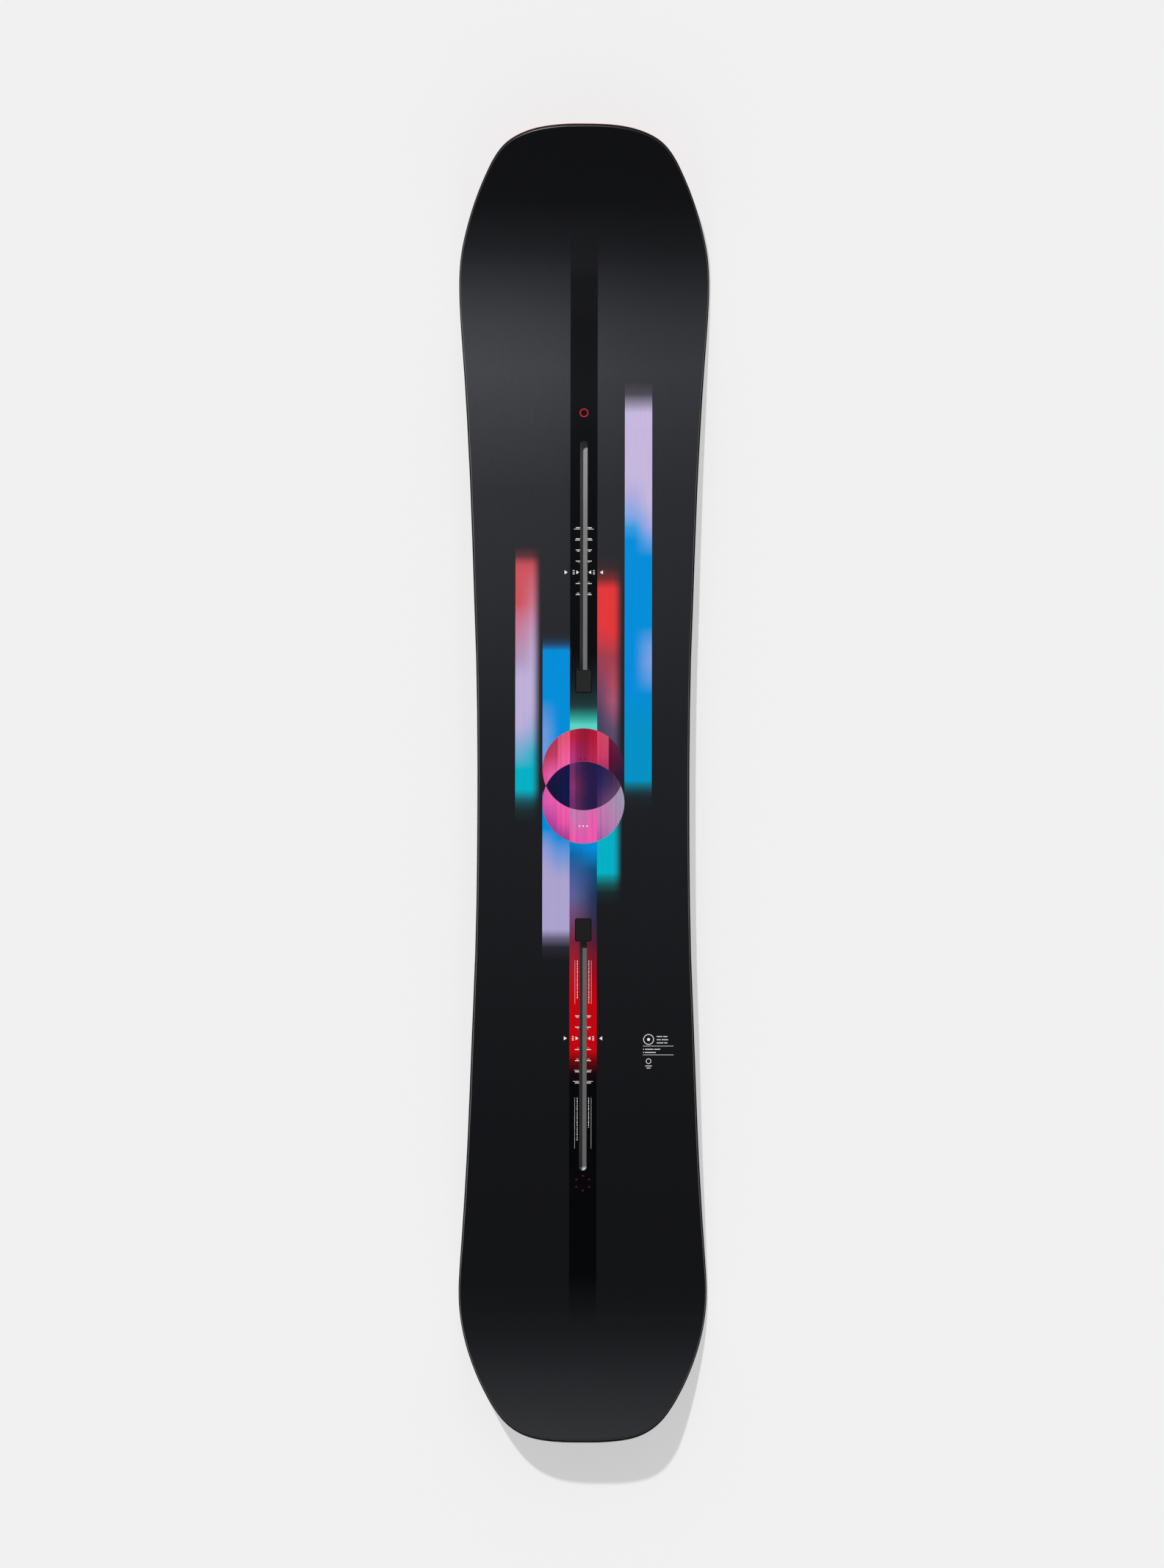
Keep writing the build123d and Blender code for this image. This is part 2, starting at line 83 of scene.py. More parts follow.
# Palette
CORAL = (206, 85, 95)
ROSEWOOD = (200, 122, 150)
MAUVE = (180, 150, 186)
LAVENDER = (190, 177, 217)
PALE_LAVENDER = (198, 184, 221)
DUSKY_LAVENDER = (174, 164, 209)
PERIWINKLE = (135, 172, 216)
TEAL = (2, 178, 199)
BLUE = (1, 142, 219)
SKY = (110, 156, 223)
SEA = (1, 146, 199)
DEEP_SEA = (0, 146, 172)
SEA_GREEN = (0, 166, 172)
SLATE = (17, 23, 27)
MINT = (92, 214, 198)
SCARLET = (228, 56, 60)
BRICK = (168, 62, 78)
PLUM = (122, 68, 100)
DUSK = (72, 66, 96)
RED = (195, 2, 14)
WHITE = (235, 235, 235)
INK_RED = (190, 30, 36)
INK_MAROON = (84, 12, 26)
INK_PLUM = (95, 12, 52)

# Colours of the pieces under and beside the print
SIDEWALL_BLACK = (24, 24, 26)
EDGE_STEEL = (150, 150, 152)
FOIL_BLACK = (30, 30, 30)
SPACER_BLACK = (16, 16, 17)
CORE_WOOD = (206, 176, 130)
CROSS_GRAIN_WOOD = (186, 146, 100)
LIP_METAL = (160, 160, 160)
CHANNEL_PLASTIC = (74, 74, 76)
PLUG_COLOURS = {"nose": (26, 27, 28), "tail": (16, 16, 18)}
# Painted shade round the edge of each plug's head
PLUG_EDGE_SHADE = (3, 3, 3)

# Base panels: node, name of its material, colour
BASE_PANELS = [
    ("base_centre", "base_middle", (24, 24, 26)),
    ("base_nose", "base_nose", (150, 30, 68)),
    # The tail panel is the nose's raspberry at about half its level, painted shade for a rim that faces away
    # from the light.
    ("base_tail", "base_tail", (76, 16, 36)),
]

# Greys that change along the board, as (y, grey), and shades across it, as (x, shade)
LAMINATE_GREYS = [(-720, 60), (-620, 104), (560, 104), (680, 44), (730, 34)]
# The nose floor lightens towards its outer end as a painted reflection, and the first stops of the tail
# floor are a painted highlight at the far end of its slot.
FLOOR_GREYS_AND_HIGHLIGHTS = {
    "nose": [(150, 124), (300, 139), (390, 168)],
    "tail": [(-441, 235), (-438.5, 225), (-436, 112), (-180, 110)],
}
# Shades across the floors are painted light that lifts the shadow of the left lip, with a little painted
# shade on the right of the tail floor.
FLOOR_PAINTED_LIGHT = {
    "nose": [(-4, 1.9), (-2.4, 1.0), (4, 1.0)],
    "tail": [(-4, 2), (-1.5, 1.0), (4, 0.95)],
}
STRONGEST_SHADE = 2.0

# Charcoal of the deck print along the board: (y, grey on the left, grey on the right)
# Part print, part painted sheen: the lighter patch towards the nose, the left lighter than the right there,
# and the lighter tail tip stand in for a reflection of the light.
DECK_PRINT_AND_SHEEN_GREYS = [
    (-745, 32, 32), (-680, 30, 30), (-620, 21, 21), (-575, 19, 19), (-390, 20, 20), (-270, 23, 23),
    (-100, 28, 28), (60, 33, 33), (220, 45, 41), (330, 49, 44), (400, 60, 50), (470, 68, 55), (520, 62, 49),
    (570, 49, 38), (610, 34, 28), (660, 21, 20), (745, 20, 20),
]

# Black band on the centre line: (y, grey, how far it covers the charcoal)
# Its greys rise towards the nose as painted sheen, standing in for a reflection of the light.
BAND_PRINT_AND_SHEEN_GREYS = [
    (-615, 8, 0), (-560, 4, 1), (-370, 4, 1), (190, 9, 1), (320, 11, 1), (390, 15, 1), (440, 20, 1),
    (520, 14, 0.97), (572, 12, 0.8), (605, 16, 0.28), (625, 16, 0),
]

# Stance marks: middle of the stance, from there to each reference mark, one step, half a slot's width
STANCE_Y = -25.0
REFERENCE = 264.7
STEP = 12.7
SLOT_HALF = 4.1

# How far noise is drawn out along the board
LENGTHWISE = (1, 0.02, 1)
DISC_STREAKS = (1, 0.01, 1)
DECK_STREAKS = (1, 0.004, 1)


def linear(level):
    """Linear value of one sRGB level from 0 to 255."""
    c = level / 255
    return c / 12.92 if c <= 0.04045 else ((c + 0.055) / 1.055) ** 2.4


def albedo(colour, alpha=1.0):
    """Linear RGBA of an sRGB triple."""
    return (*[linear(c) for c in colour], alpha)


def greys(*stops):
    """Ramp stops of linear greys, from (place, level) pairs."""
    return [(place, (level, level, level, 1)) for place, level in stops]


def fill_ramp(colour_ramp, stops):
    """Give a colour ramp its stops. Each is (place from 0 to 1, RGBA), in rising order."""
    points = colour_ramp.elements
    points.remove(points[1])
    for k, (place, colour) in enumerate(stops):
        point = points[0] if k == 0 else points.new(place)
        point.position = place
        point.color = colour


class Shader:
    """A material's node tree around one Principled shader."""

    def __init__(self, name, roughness, specular=0.5, metallic=0.0):
        """Make the material, with these values all over."""
        self.material = bpy.data.materials.new(name)
        self.material.use_nodes = True
        self.nodes = self.material.node_tree.nodes
        self.nodes.clear()
        output = self.nodes.new("ShaderNodeOutputMaterial")
        self.surface = self.nodes.new("ShaderNodeBsdfPrincipled")
        self.surface.inputs["Roughness"].default_value = roughness
        self.surface.inputs["Specular IOR Level"].default_value = specular
        self.surface.inputs["Metallic"].default_value = metallic
        self.link(self.surface.outputs[0], output.inputs["Surface"])

    def link(self, source, target):
        """Join an output to an input."""
        self.material.node_tree.links.new(source, target)

    def feed(self, target, value):
        """Give an input a number, a tuple or another node's output."""
        if isinstance(value, bpy.types.NodeSocket):
            self.link(value, target)
        else:
            target.default_value = value

    def math(self, operation, a, b=0.0, clamp=False):
        """Arithmetic on two values, kept within 0 and 1 if clamp is set."""
        node = self.nodes.new("ShaderNodeMath")
        node.operation = operation
        node.use_clamp = clamp
        self.feed(node.inputs[0], a)
        self.feed(node.inputs[1], b)
        return node.outputs[0]

    def place(self):
        """Object coordinates in millimetres, as x, y and z outputs."""
        coordinates = self.nodes.new("ShaderNodeTexCoord")
        split = self.nodes.new("ShaderNodeSeparateXYZ")
        self.link(coordinates.outputs["Object"], split.inputs[0])
        return [self.math("MULTIPLY", output, 1 / MM) for output in split.outputs]

    def step(self, value, low, high):
        """0 below low, 1 above high, smooth between. It falls instead if low is above high."""
        node = self.nodes.new("ShaderNodeMapRange")
        node.interpolation_type = "SMOOTHSTEP"
        ends = (low, high, 0.0, 1.0) if low < high else (high, low, 1.0, 0.0)
        self.feed(node.inputs["Value"], value)
        for name, end in zip(("From Min", "From Max", "To Min", "To Max"), ends):
            node.inputs[name].default_value = end
        return node.outputs["Result"]

    def slope(self, value, low, high):
        """0 below low, 1 above high, straight between."""
        node = self.nodes.new("ShaderNodeMapRange")
        self.feed(node.inputs["Value"], value)
        node.inputs["From Min"].default_value = low
        node.inputs["From Max"].default_value = high
        return node.outputs["Result"]

    def span(self, value, low, high, blur=0.35):
        """1 between low and high, with edges blurred by blur."""
        rise = self.step(value, low - blur / 2, low + blur / 2)
        fall = self.step(value, high + blur / 2, high - blur / 2)
        return self.math("MULTIPLY", rise, fall)

    def mix(self, factor, a, b, blend="MIX"):
        """Colour a at factor 0 and a blended with b at factor 1."""
        node = self.nodes.new("ShaderNodeMix")
        node.data_type = "RGBA"
        node.blend_type = blend
        self.feed(node.inputs["Factor"], factor)
        self.feed(node.inputs[6], a)
        self.feed(node.inputs[7], b)
        return node.outputs[2]

    def ramp(self, value, stops):
        """Colour and alpha along a value. Each stop is (place, RGBA), in rising order of place."""
        low, high = stops[0][0], stops[-1][0]
        node = self.nodes.new("ShaderNodeValToRGB")
        scaled = self.math("DIVIDE", self.math("SUBTRACT", value, low), high - low, clamp=True)
        self.link(scaled, node.inputs[0])
        fill_ramp(node.color_ramp, [((place - low) / (high - low), colour) for place, colour in stops])
        return node.outputs["Color"], node.outputs["Alpha"]

    def noise(self, scale, detail=2.0, stretch=(1, 1, 1)):
        """Noise from 0 to 1 in object coordinates, scale cycles to the metre, drawn out by stretch."""
        coordinates = self.nodes.new("ShaderNodeTexCoord")
        mapping = self.nodes.new("ShaderNodeMapping")
        mapping.inputs["Scale"].default_value = stretch
        node = self.nodes.new("ShaderNodeTexNoise")
        node.inputs["Scale"].default_value = scale
        node.inputs["Detail"].default_value = detail
        self.link(coordinates.outputs["Object"], mapping.inputs["Vector"])
        self.link(mapping.outputs[0], node.inputs["Vector"])
        return node.outputs["Fac"]

    def vary(self, value, low, high):
        """A value from 0 to 1 as one from low to high."""
        node = self.nodes.new("ShaderNodeMapRange")
        self.feed(node.inputs["Value"], value)
        node.inputs["To Min"].default_value = low
        node.inputs["To Max"].default_value = high
        return node.outputs["Result"]

    def bump(self, height, depth):
        """Relief of depth metres at height 1."""
        node = self.nodes.new("ShaderNodeBump")
        node.inputs["Distance"].default_value = depth
        self.feed(node.inputs["Height"], height)
        self.link(node.outputs[0], self.surface.inputs["Normal"])

    def times(self, colour, factor):
        """One colour multiplied by another."""
        return self.mix(1.0, colour, factor, blend="MULTIPLY")

    def colour(self, value):
        """Set or feed the base colour."""
        self.feed(self.surface.inputs["Base Color"], value)

    def rough(self, value):
        """Set or feed the roughness."""
        self.feed(self.surface.inputs["Roughness"], value)


def faded(stops):
    """Ramp stops from (y, colour) or (y, colour, alpha), turned so that y rises."""
    return [(s[0], albedo(s[1], s[2] if len(s) > 2 else 1.0)) for s in sorted(stops)]


def fade(colour, *stops):
    """Ramp stops of one colour, from (y, alpha) pairs."""
    return [(y, colour, alpha) for y, alpha in stops]


# How the stripes fade out towards the nose and the tail, numbered from the left
FIRST_TOP = fade(CORAL, (268, 0), (258, 0.15), (248, 0.9))
FIRST_END = fade(TEAL, (-7, 1), (-10, 0.78), (-18, 0.26), (-24, 0.1), (-31, 0.03), (-44, 0))
SECOND_TOP = fade(BLUE, (174, 0), (166, 0.015), (160, 0.1), (156, 0.3), (153, 0.6), (150.5, 1))
SECOND_END = fade(DUSKY_LAVENDER, (-166, 1), (-176, 0.3), (-186, 0.03), (-202, 0))
THIRD_TOP = [
    (148, SLATE, 0), (126, SLATE), (108, (23, 34, 38)), (92, (29, 53, 54)), (87, (33, 63, 63)),
    (83, (36, 98, 92)), (78, (38, 138, 126)), (71, (66, 180, 169)), (66, MINT), (40, MINT), (-60, BLUE),
]
THIRD_END = fade(RED, (-304, 1), (-315, 0.26), (-328, 0.015), (-342, 0))
FOURTH_TOP = fade(SCARLET, (258, 0), (244, 0.03), (232, 0.22), (221, 1))
FOURTH_END = [
    (20, DUSK), (4, DUSK, 0), (-30, TEAL, 0), (-36, TEAL), (-102, TEAL),
    *fade(SEA_GREEN, (-107, 0.7), (-115, 0.22), (-124, 0.03), (-138, 0)),
]
FIFTH_TOP = fade(PALE_LAVENDER, (456, 0), (442, 0.07), (431, 0.5), (421, 1))
FIFTH_END = [
    (60, SEA), (3, SEA),
    *fade(DEEP_SEA, (-0.2, 0.66), (-3.7, 0.42), (-7.2, 0.21), (-10.6, 0.09)),
    *fade(DEEP_SEA, (-16, 0.025), (-28, 0.003), (-40, 0)),
]

# Stripes: left edge, whether the right side is soft, where across it the left colours turn into the right
# ones, then the left and the right colours along the board
STRIPES = [
    (-77.5, True, (3, 28), [
        *FIRST_TOP, (238, CORAL), (205, CORAL), (182, ROSEWOOD), (142, MAUVE), (120, LAVENDER),
        (66, LAVENDER), (44, PERIWINKLE), (16, TEAL), *FIRST_END,
    ], [
        *FIRST_TOP, (238, (206, 96, 112)), (210, (206, 124, 150)), (180, (196, 154, 190)), (150, LAVENDER),
        (84, LAVENDER), (58, PERIWINKLE), (36, TEAL), *FIRST_END,
    ]),
    (-46.5, False, (0, 20), [
        *SECOND_TOP, (96, BLUE), (60, SKY), (24, SKY), (12, SKY, 0), (-9, BLUE, 0), (-16, BLUE), (-52, BLUE),
        (-76, (148, 156, 216)), (-98, DUSKY_LAVENDER), *SECOND_END,
    ], [
        *SECOND_TOP, (24, BLUE), (12, BLUE, 0), (-9, BLUE, 0), (-16, BLUE), (-62, BLUE),
        (-82, (112, 152, 218)), (-110, DUSKY_LAVENDER), *SECOND_END,
    ]),
    (-15.5, False, (0, 31), [
        *THIRD_TOP, (-70, (2, 126, 198)), (-82, (16, 100, 162)), (-94, (48, 94, 154)), (-128, (95, 99, 153)),
        (-155, (114, 72, 108)), (-180, (126, 34, 56)), (-215, (182, 18, 36)), (-245, RED), *THIRD_END,
    ], [
        *THIRD_TOP, (-74, BLUE), (-98, (8, 80, 130)), (-128, (30, 51, 89)), (-160, (50, 41, 68)),
        (-184, (88, 28, 50)), (-215, (152, 8, 28)), (-250, RED), *THIRD_END,
    ]),
    (15.5, True, (0, 22), [
        *FOURTH_TOP, (178, SCARLET), (148, BRICK), (112, PLUM), (76, DUSK), *FOURTH_END,
    ], [
        *FOURTH_TOP, (172, SCARLET), (142, BRICK), (112, (176, 78, 98)), (94, (172, 88, 116)),
        (62, (98, 78, 110)), *FOURTH_END,
    ]),
    (46.5, False, (9, 31), [
        *FIFTH_TOP, (350, PALE_LAVENDER), (330, (180, 174, 222)), (306, (136, 168, 228)),
        (290, (50, 156, 226)), (276, BLUE), (104, BLUE), *FIFTH_END,
    ], [
        *FIFTH_TOP, (322, PALE_LAVENDER), (292, (166, 170, 226)), (276, (104, 162, 230)), (258, BLUE),
        (178, BLUE), (156, (106, 160, 228)), (138, (126, 161, 228)), (120, (96, 157, 228)), (102, BLUE),
        *FIFTH_END,
    ]),
]

# Discs as colours across their width, at several places along the board: (y, (x, colour) from left to right)
UPPER_DISC = [
    (10, [(-46.5, (218, 72, 140)), (-38, (238, 98, 172)), (-15.7, (254, 106, 178)), (-15.3, (172, 66, 148)),
          (-7.6, (165, 60, 128)), (-7.4, (140, 42, 104)), (4, (138, 44, 100)), (7.5, (172, 40, 90)),
          (15.3, (190, 40, 88)), (15.7, (165, 42, 92)), (28.4, (158, 46, 104)), (28.8, (62, 24, 55)),
          (46.5, (46, 25, 52))]),
    (31, [(-46.5, (180, 62, 88)), (-36, (196, 61, 94)), (-29, (206, 66, 112)), (-28.4, (240, 91, 142)),
          (-15.7, (252, 100, 162)), (-15.3, (196, 60, 132)), (-7.6, (178, 46, 112)), (-7.4, (160, 36, 94)),
          (4, (160, 32, 85)), (7.5, (182, 38, 82)), (15.3, (193, 36, 74)), (15.7, (212, 64, 102)),
          (28.4, (204, 62, 108)), (28.8, (92, 16, 55)), (38, (90, 22, 58)), (46.5, (60, 30, 56))]),
    (53, [(-40, (150, 50, 84)), (-29, (190, 56, 76)), (-28.4, (224, 84, 116)), (-15.7, (238, 90, 126)),
          (-15.3, (200, 38, 72)), (-7.6, (182, 32, 64)), (-7.4, (166, 30, 60)), (4, (156, 24, 54)),
          (7.5, (176, 25, 58)), (15.3, (193, 21, 58)), (15.7, (216, 70, 100)), (28.4, (216, 73, 110)),
          (28.8, (118, 28, 60)), (40, (94, 36, 70))]),
]
LENS = [
    (-22, [(-36, (24, 16, 60)), (-15.7, (15, 23, 75)), (-15.3, (122, 48, 112)), (-11, (116, 48, 108)),
           (-7.4, (88, 40, 88)), (0, (58, 33, 75)), (6, (42, 28, 73)), (15.3, (37, 27, 75)),
           (15.7, (62, 44, 92)), (22, (94, 58, 104)), (32, (112, 78, 111))]),
    (-4, [(-42, (19, 19, 59)), (-30, (15, 24, 58)), (-27, (12, 24, 70)), (-15.7, (13, 24, 76)),
          (-15.3, (146, 52, 118)), (-11, (140, 50, 114)), (-7.4, (105, 40, 92)), (0, (72, 33, 75)),
          (5, (43, 30, 75)), (15.3, (38, 28, 78)), (15.7, (44, 33, 86)), (25, (63, 47, 97)),
          (33, (74, 55, 90)), (42, (96, 66, 100))]),
    (14, [(-30, (30, 20, 66)), (-15.7, (16, 22, 74)), (-15.3, (118, 52, 106)), (-11, (110, 48, 100)),
          (-7.4, (80, 38, 88)), (0, (52, 32, 75)), (5, (40, 28, 70)), (15.3, (35, 27, 81)),
          (15.7, (32, 31, 84)), (24, (41, 36, 87)), (30, (54, 34, 74))]),
]
LOWER_DISC = [
    (-62, [(-36, (110, 62, 150)), (-26, (165, 62, 145)), (-15.7, (182, 66, 155)), (-15.3, (249, 98, 173)),
           (-5, (235, 90, 178)), (4, (226, 94, 178)), (7.5, (245, 93, 178)), (15.3, (247, 92, 176)),
           (15.7, (164, 94, 168)), (24, (180, 106, 170)), (36, (184, 124, 178))]),
    (-44, [(-46.5, (150, 66, 150)), (-40, (178, 66, 150)), (-29, (212, 78, 168)), (-28.4, (232, 84, 172)),
           (-20, (243, 90, 173)), (-15.7, (240, 88, 172)), (-15.3, (222, 124, 181)), (-5, (208, 116, 179)),
           (4, (214, 108, 176)), (7.5, (238, 100, 177)), (15.3, (243, 100, 178)), (15.7, (198, 112, 178)),
           (28, (190, 126, 179)), (40, (180, 140, 181)), (46.5, (170, 146, 182))]),
    (-22, [(-46.5, (218, 82, 168)), (-40, (234, 94, 180)), (-29, (240, 96, 178)), (-28.4, (248, 100, 181)),
           (-15.7, (246, 98, 180)), (-15.3, (198, 137, 185)), (-5, (192, 130, 180)), (4, (200, 122, 181)),
           (15.3, (216, 115, 180)), (15.7, (212, 112, 182)), (22, (208, 126, 184)), (32, (178, 141, 181)),
           (42, (165, 152, 184)), (46.5, (165, 160, 186))]),
]


def blend_rows(shader, x, y, rows):
    """Colour from rows of colours across the board, blended one into the next along it."""
    colour = None
    for k, (row_y, stops) in enumerate(rows):
        row, _ = shader.ramp(x, [(place, albedo(tone)) for place, tone in stops])
        colour = row if k == 0 else shader.mix(shader.slope(y, rows[k - 1][0], row_y), colour, row)
    return colour


def paint_stripes(shader, x, y, deck):
    """The five colour stripes over the deck colour."""
    for left, soft, turn, left_stops, right_stops in STRIPES:
        right = left + COLUMN
        across = shader.step(x, left + turn[0], left + turn[1])
        left_colour, left_alpha = shader.ramp(y, faded(left_stops))
        right_colour, right_alpha = shader.ramp(y, faded(right_stops))
        colour = shader.mix(across, left_colour, right_colour)
        left_part = shader.math("MULTIPLY", shader.math("SUBTRACT", 1.0, across), left_alpha)
        right_part = shader.math("MULTIPLY", across, right_alpha)
        alpha = shader.math("ADD", left_part, right_part)
        rise = shader.step(x, left - CRISP, left + CRISP)
        if soft:
            fall = shader.step(x, right - SOFT_TO, right - SOFT_FROM)
        else:
            fall = shader.step(x, right + CRISP, right - CRISP)
        cover = shader.math("MULTIPLY", shader.math("MULTIPLY", rise, fall), alpha)
        deck = shader.mix(cover, deck, colour)
    return deck


def within_disc(shader, x, y, centre_y):
    """1 inside a disc on the centre line, 0 outside."""
    dy = shader.math("SUBTRACT", y, centre_y)
    square = shader.math("ADD", shader.math("MULTIPLY", x, x), shader.math("MULTIPLY", dy, dy))
    return shader.step(shader.math("SQRT", square), DISC_R + CRISP, DISC_R - CRISP)


def paint_discs(shader, x, y, deck):
    """The two overlapping discs and the dark lens where they cross."""
    upper = within_disc(shader, x, y, UPPER_DISC_Y)
    lower = within_disc(shader, x, y, LOWER_DISC_Y)
    both = shader.math("MULTIPLY", upper, lower)
    streaks, _ = shader.ramp(shader.noise(330, 2.0, DISC_STREAKS), greys((0.32, 0.84), (0.6, 1)))
    for mask, rows in ((upper, UPPER_DISC), (lower, LOWER_DISC), (both, LENS)):
        deck = shader.mix(mask, deck, shader.times(blend_rows(shader, x, y, rows), streaks))
    return deck


def charcoal(grey, alpha=1.0):
    """Linear RGBA of a faintly blue charcoal."""
    return albedo((grey - 0.6, grey, grey * 1.03 + 2.4), alpha)


def topsheet_material():
    """Satin black print with its charcoal fade, partly painted sheen, black centre band, stripes and discs.
    """
    shader = Shader("topsheet_print", roughness=0.45, specular=0.06)
    x, y, _ = shader.place()
    # Left and right greys differ only by painted sheen from the light on the left.
    sheen_sides = [shader.ramp(y, [(stop[0], charcoal(stop[side])) for stop in DECK_PRINT_AND_SHEEN_GREYS])[0] for side in (1, 2)]
    deck = shader.mix(shader.step(x, -130, 130), *sheen_sides)
    black, presence = shader.ramp(y, [(at, charcoal(grey, alpha)) for at, grey, alpha in BAND_PRINT_AND_SHEEN_GREYS])
    band = shader.math("MULTIPLY", shader.span(x, -COLUMN / 2, COLUMN / 2), presence)
    deck = shader.mix(band, deck, black)
    deck = paint_stripes(shader, x, y, deck)
    deck = paint_discs(shader, x, y, deck)
    streaks, _ = shader.ramp(shader.noise(900, 3.0, DECK_STREAKS), greys((0.3, 0.93), (0.7, 1)))
    shader.colour(shader.times(deck, streaks))
    grain = shader.noise(2600, 2.0)
    shader.rough(shader.vary(grain, 0.41, 0.49))
    shader.bump(grain, 0.00001)
    return shader.material


def plain_material(name, colour, roughness, specular=0.5, metallic=0.0, grain=1800, depth=0.00001,
                   stretch=(1, 1, 1), spread=0.05, tint=0.06):
    """A moulded, ground or brushed surface: one colour with grain in its tone, gloss and relief."""
    shader = Shader(name, roughness, specular, metallic)
    fine = shader.noise(grain, 3.0, stretch)
    broad = shader.noise(grain / 40, 2.0, stretch)
    low, high = 1 - tint, 1 + tint
    base = albedo(colour)
    dark = tuple(c * low for c in base[:3]) + (1,)
    light = tuple(min(c * high, 1) for c in base[:3]) + (1,)
    tone = shader.math("ADD", shader.math("MULTIPLY", fine, 0.5), shader.math("MULTIPLY", broad, 0.5))
    shader.colour(shader.ramp(tone, [(0.3, dark), (0.7, light)])[0])
    shader.rough(shader.vary(fine, roughness - spread, roughness + spread))
    shader.bump(fine, depth)
    return shader.material


def shaded_material(name, along, across=((-4, 1), (4, 1))):
    """Brushed grey that changes along the board as (y, grey), times shades across it as (x, shade). On the
    channel floors both hold painted light.

    Shades go into their ramp as parts of the strongest one, and the grain multiplies them back.
    """
    shader = Shader(name, 0.42, 0.5)
    x, y, _ = shader.place()
    tone, _ = shader.ramp(y, [(at, albedo((grey, grey, grey))) for at, grey in along])
    shade, _ = shader.ramp(x, greys(*[(at, level / STRONGEST_SHADE) for at, level in across]))
    brushing = shader.noise(3600, 3.0, LENGTHWISE)
    grain, _ = shader.ramp(brushing, greys((0.3, 0.92 * STRONGEST_SHADE), (0.7, 1.06 * STRONGEST_SHADE)))
    shader.colour(shader.times(shader.times(tone, shade), grain))
    shader.rough(shader.vary(brushing, 0.36, 0.48))
    shader.bump(brushing, 0.00001)
    return shader.material


def plug_plastic(name, colour, node):
    """Moulded plastic, with painted shade round the edge of the plug's head."""
    shader = Shader(name, 0.5, 0.3)
    x, y, _ = shader.place()
    # Width of the painted shade at the sides and at the ends, and its blur
    side_border, end_border, blur = 1.0, 1.1, 0.7
    low, high = [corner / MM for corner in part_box(node)]
    across = shader.span(x, low.x + side_border, high.x - side_border, blur)
    along = shader.span(y, low.y + end_border, high.y - end_border, blur)
    middle = shader.math("MULTIPLY", across, along)
    grain = shader.noise(2600, 3.0)
    dark, light = albedo([c * 0.9 for c in colour]), albedo([c * 1.08 for c in colour])
    face, _ = shader.ramp(grain, [(0.3, dark), (0.7, light)])
    shader.colour(shader.mix(middle, albedo(PLUG_EDGE_SHADE), face))
    shader.rough(shader.vary(grain, 0.42, 0.56))
    shader.bump(grain, 0.00002)
    return shader.material


def ink(name, colour, tint=0.05):
    """Satin printing ink."""
    return plain_material(name, colour, 0.45, 0.3, grain=2600, tint=tint)


def wood_material(name, colour, along):
    """Plain-sawn core wood with its grain along x or y."""
    stretch = (0.05, 1, 1) if along == "x" else (1, 0.05, 1)
    shader = Shader(name, 0.6, 0.3)
    grain = shader.noise(420, 6.0, stretch)
    rings = shader.noise(60, 2.0, stretch)
    tone = shader.math("ADD", shader.math("MULTIPLY", grain, 0.55), shader.math("MULTIPLY", rings, 0.45))
    base = albedo(colour)
    dark = tuple(c * 0.62 for c in base[:3]) + (1,)
    shader.colour(shader.ramp(tone, [(0.3, dark), (0.68, base)])[0])
    shader.bump(grain, 0.00005)
    return shader.material


def assign(material, *nodes):
    """Put a material on every slot of some CAD nodes."""
    for node in nodes:
        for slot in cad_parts[node].material_slots:
            slot.material = material


def finish_layers():
    """Materials of the print, the sides, the laminates, the core and the base."""
    assign(topsheet_material(), "topsheet")
    assign(plain_material("sidewall_plastic", SIDEWALL_BLACK, 0.6, 0.0, grain=2200, stretch=LENGTHWISE),
           "sidewall_right", "sidewall_left")
    assign(plain_material("edge_steel", EDGE_STEEL, 0.34, metallic=1.0, grain=5000, stretch=LENGTHWISE,
                          depth=0.00002, tint=0.12), "steel_edge_right", "steel_edge_left")
    assign(plain_material("foil_rubber", FOIL_BLACK, 0.8, 0.2), "edge_foil_right", "edge_foil_left")
    assign(shaded_material("glass_laminate", LAMINATE_GREYS), "bottom_laminate", "top_laminate")
    assign(plain_material("spacer_plastic", SPACER_BLACK, 0.6, 0.05), "nose_spacer", "tail_spacer")
    assign(wood_material("core_wood", CORE_WOOD, "y"), "core_centre_strip", "core_stringers_right",
           "core_stringers_left", "core_edge_rails_right", "core_edge_rails_left")
    assign(wood_material("cross_grain_wood", CROSS_GRAIN_WOOD, "x"), "core_cross_grain_blocks_right",
           "core_cross_grain_blocks_left")
    for node, name, colour in BASE_PANELS:
        assign(plain_material(name, colour, 0.36, grain=3200, stretch=LENGTHWISE, depth=0.00002,
                              spread=0.08), node)


def finish_channels():
    """Materials of both channels and their plugs."""
    for end in ("nose", "tail"):
        assign(shaded_material(f"{end}_floor_metal", FLOOR_GREYS_AND_HIGHLIGHTS[end], FLOOR_PAINTED_LIGHT[end]),
               f"{end}_channel_floor")
        assign(plain_material(f"{end}_lip_metal", LIP_METAL, 0.35, grain=4200, stretch=LENGTHWISE,
                              tint=0.1), f"{end}_channel_lips")
        assign(plain_material(f"{end}_channel_plastic", CHANNEL_PLASTIC, 0.5, grain=2600, tint=0.08),
               f"{end}_channel_rails", f"{end}_channel_end_blocks")
    for end, colour in PLUG_COLOURS.items():
        assign(plug_plastic(f"{end}_plug_plastic", colour, f"{end}_channel_plug"), f"{end}_channel_plug")


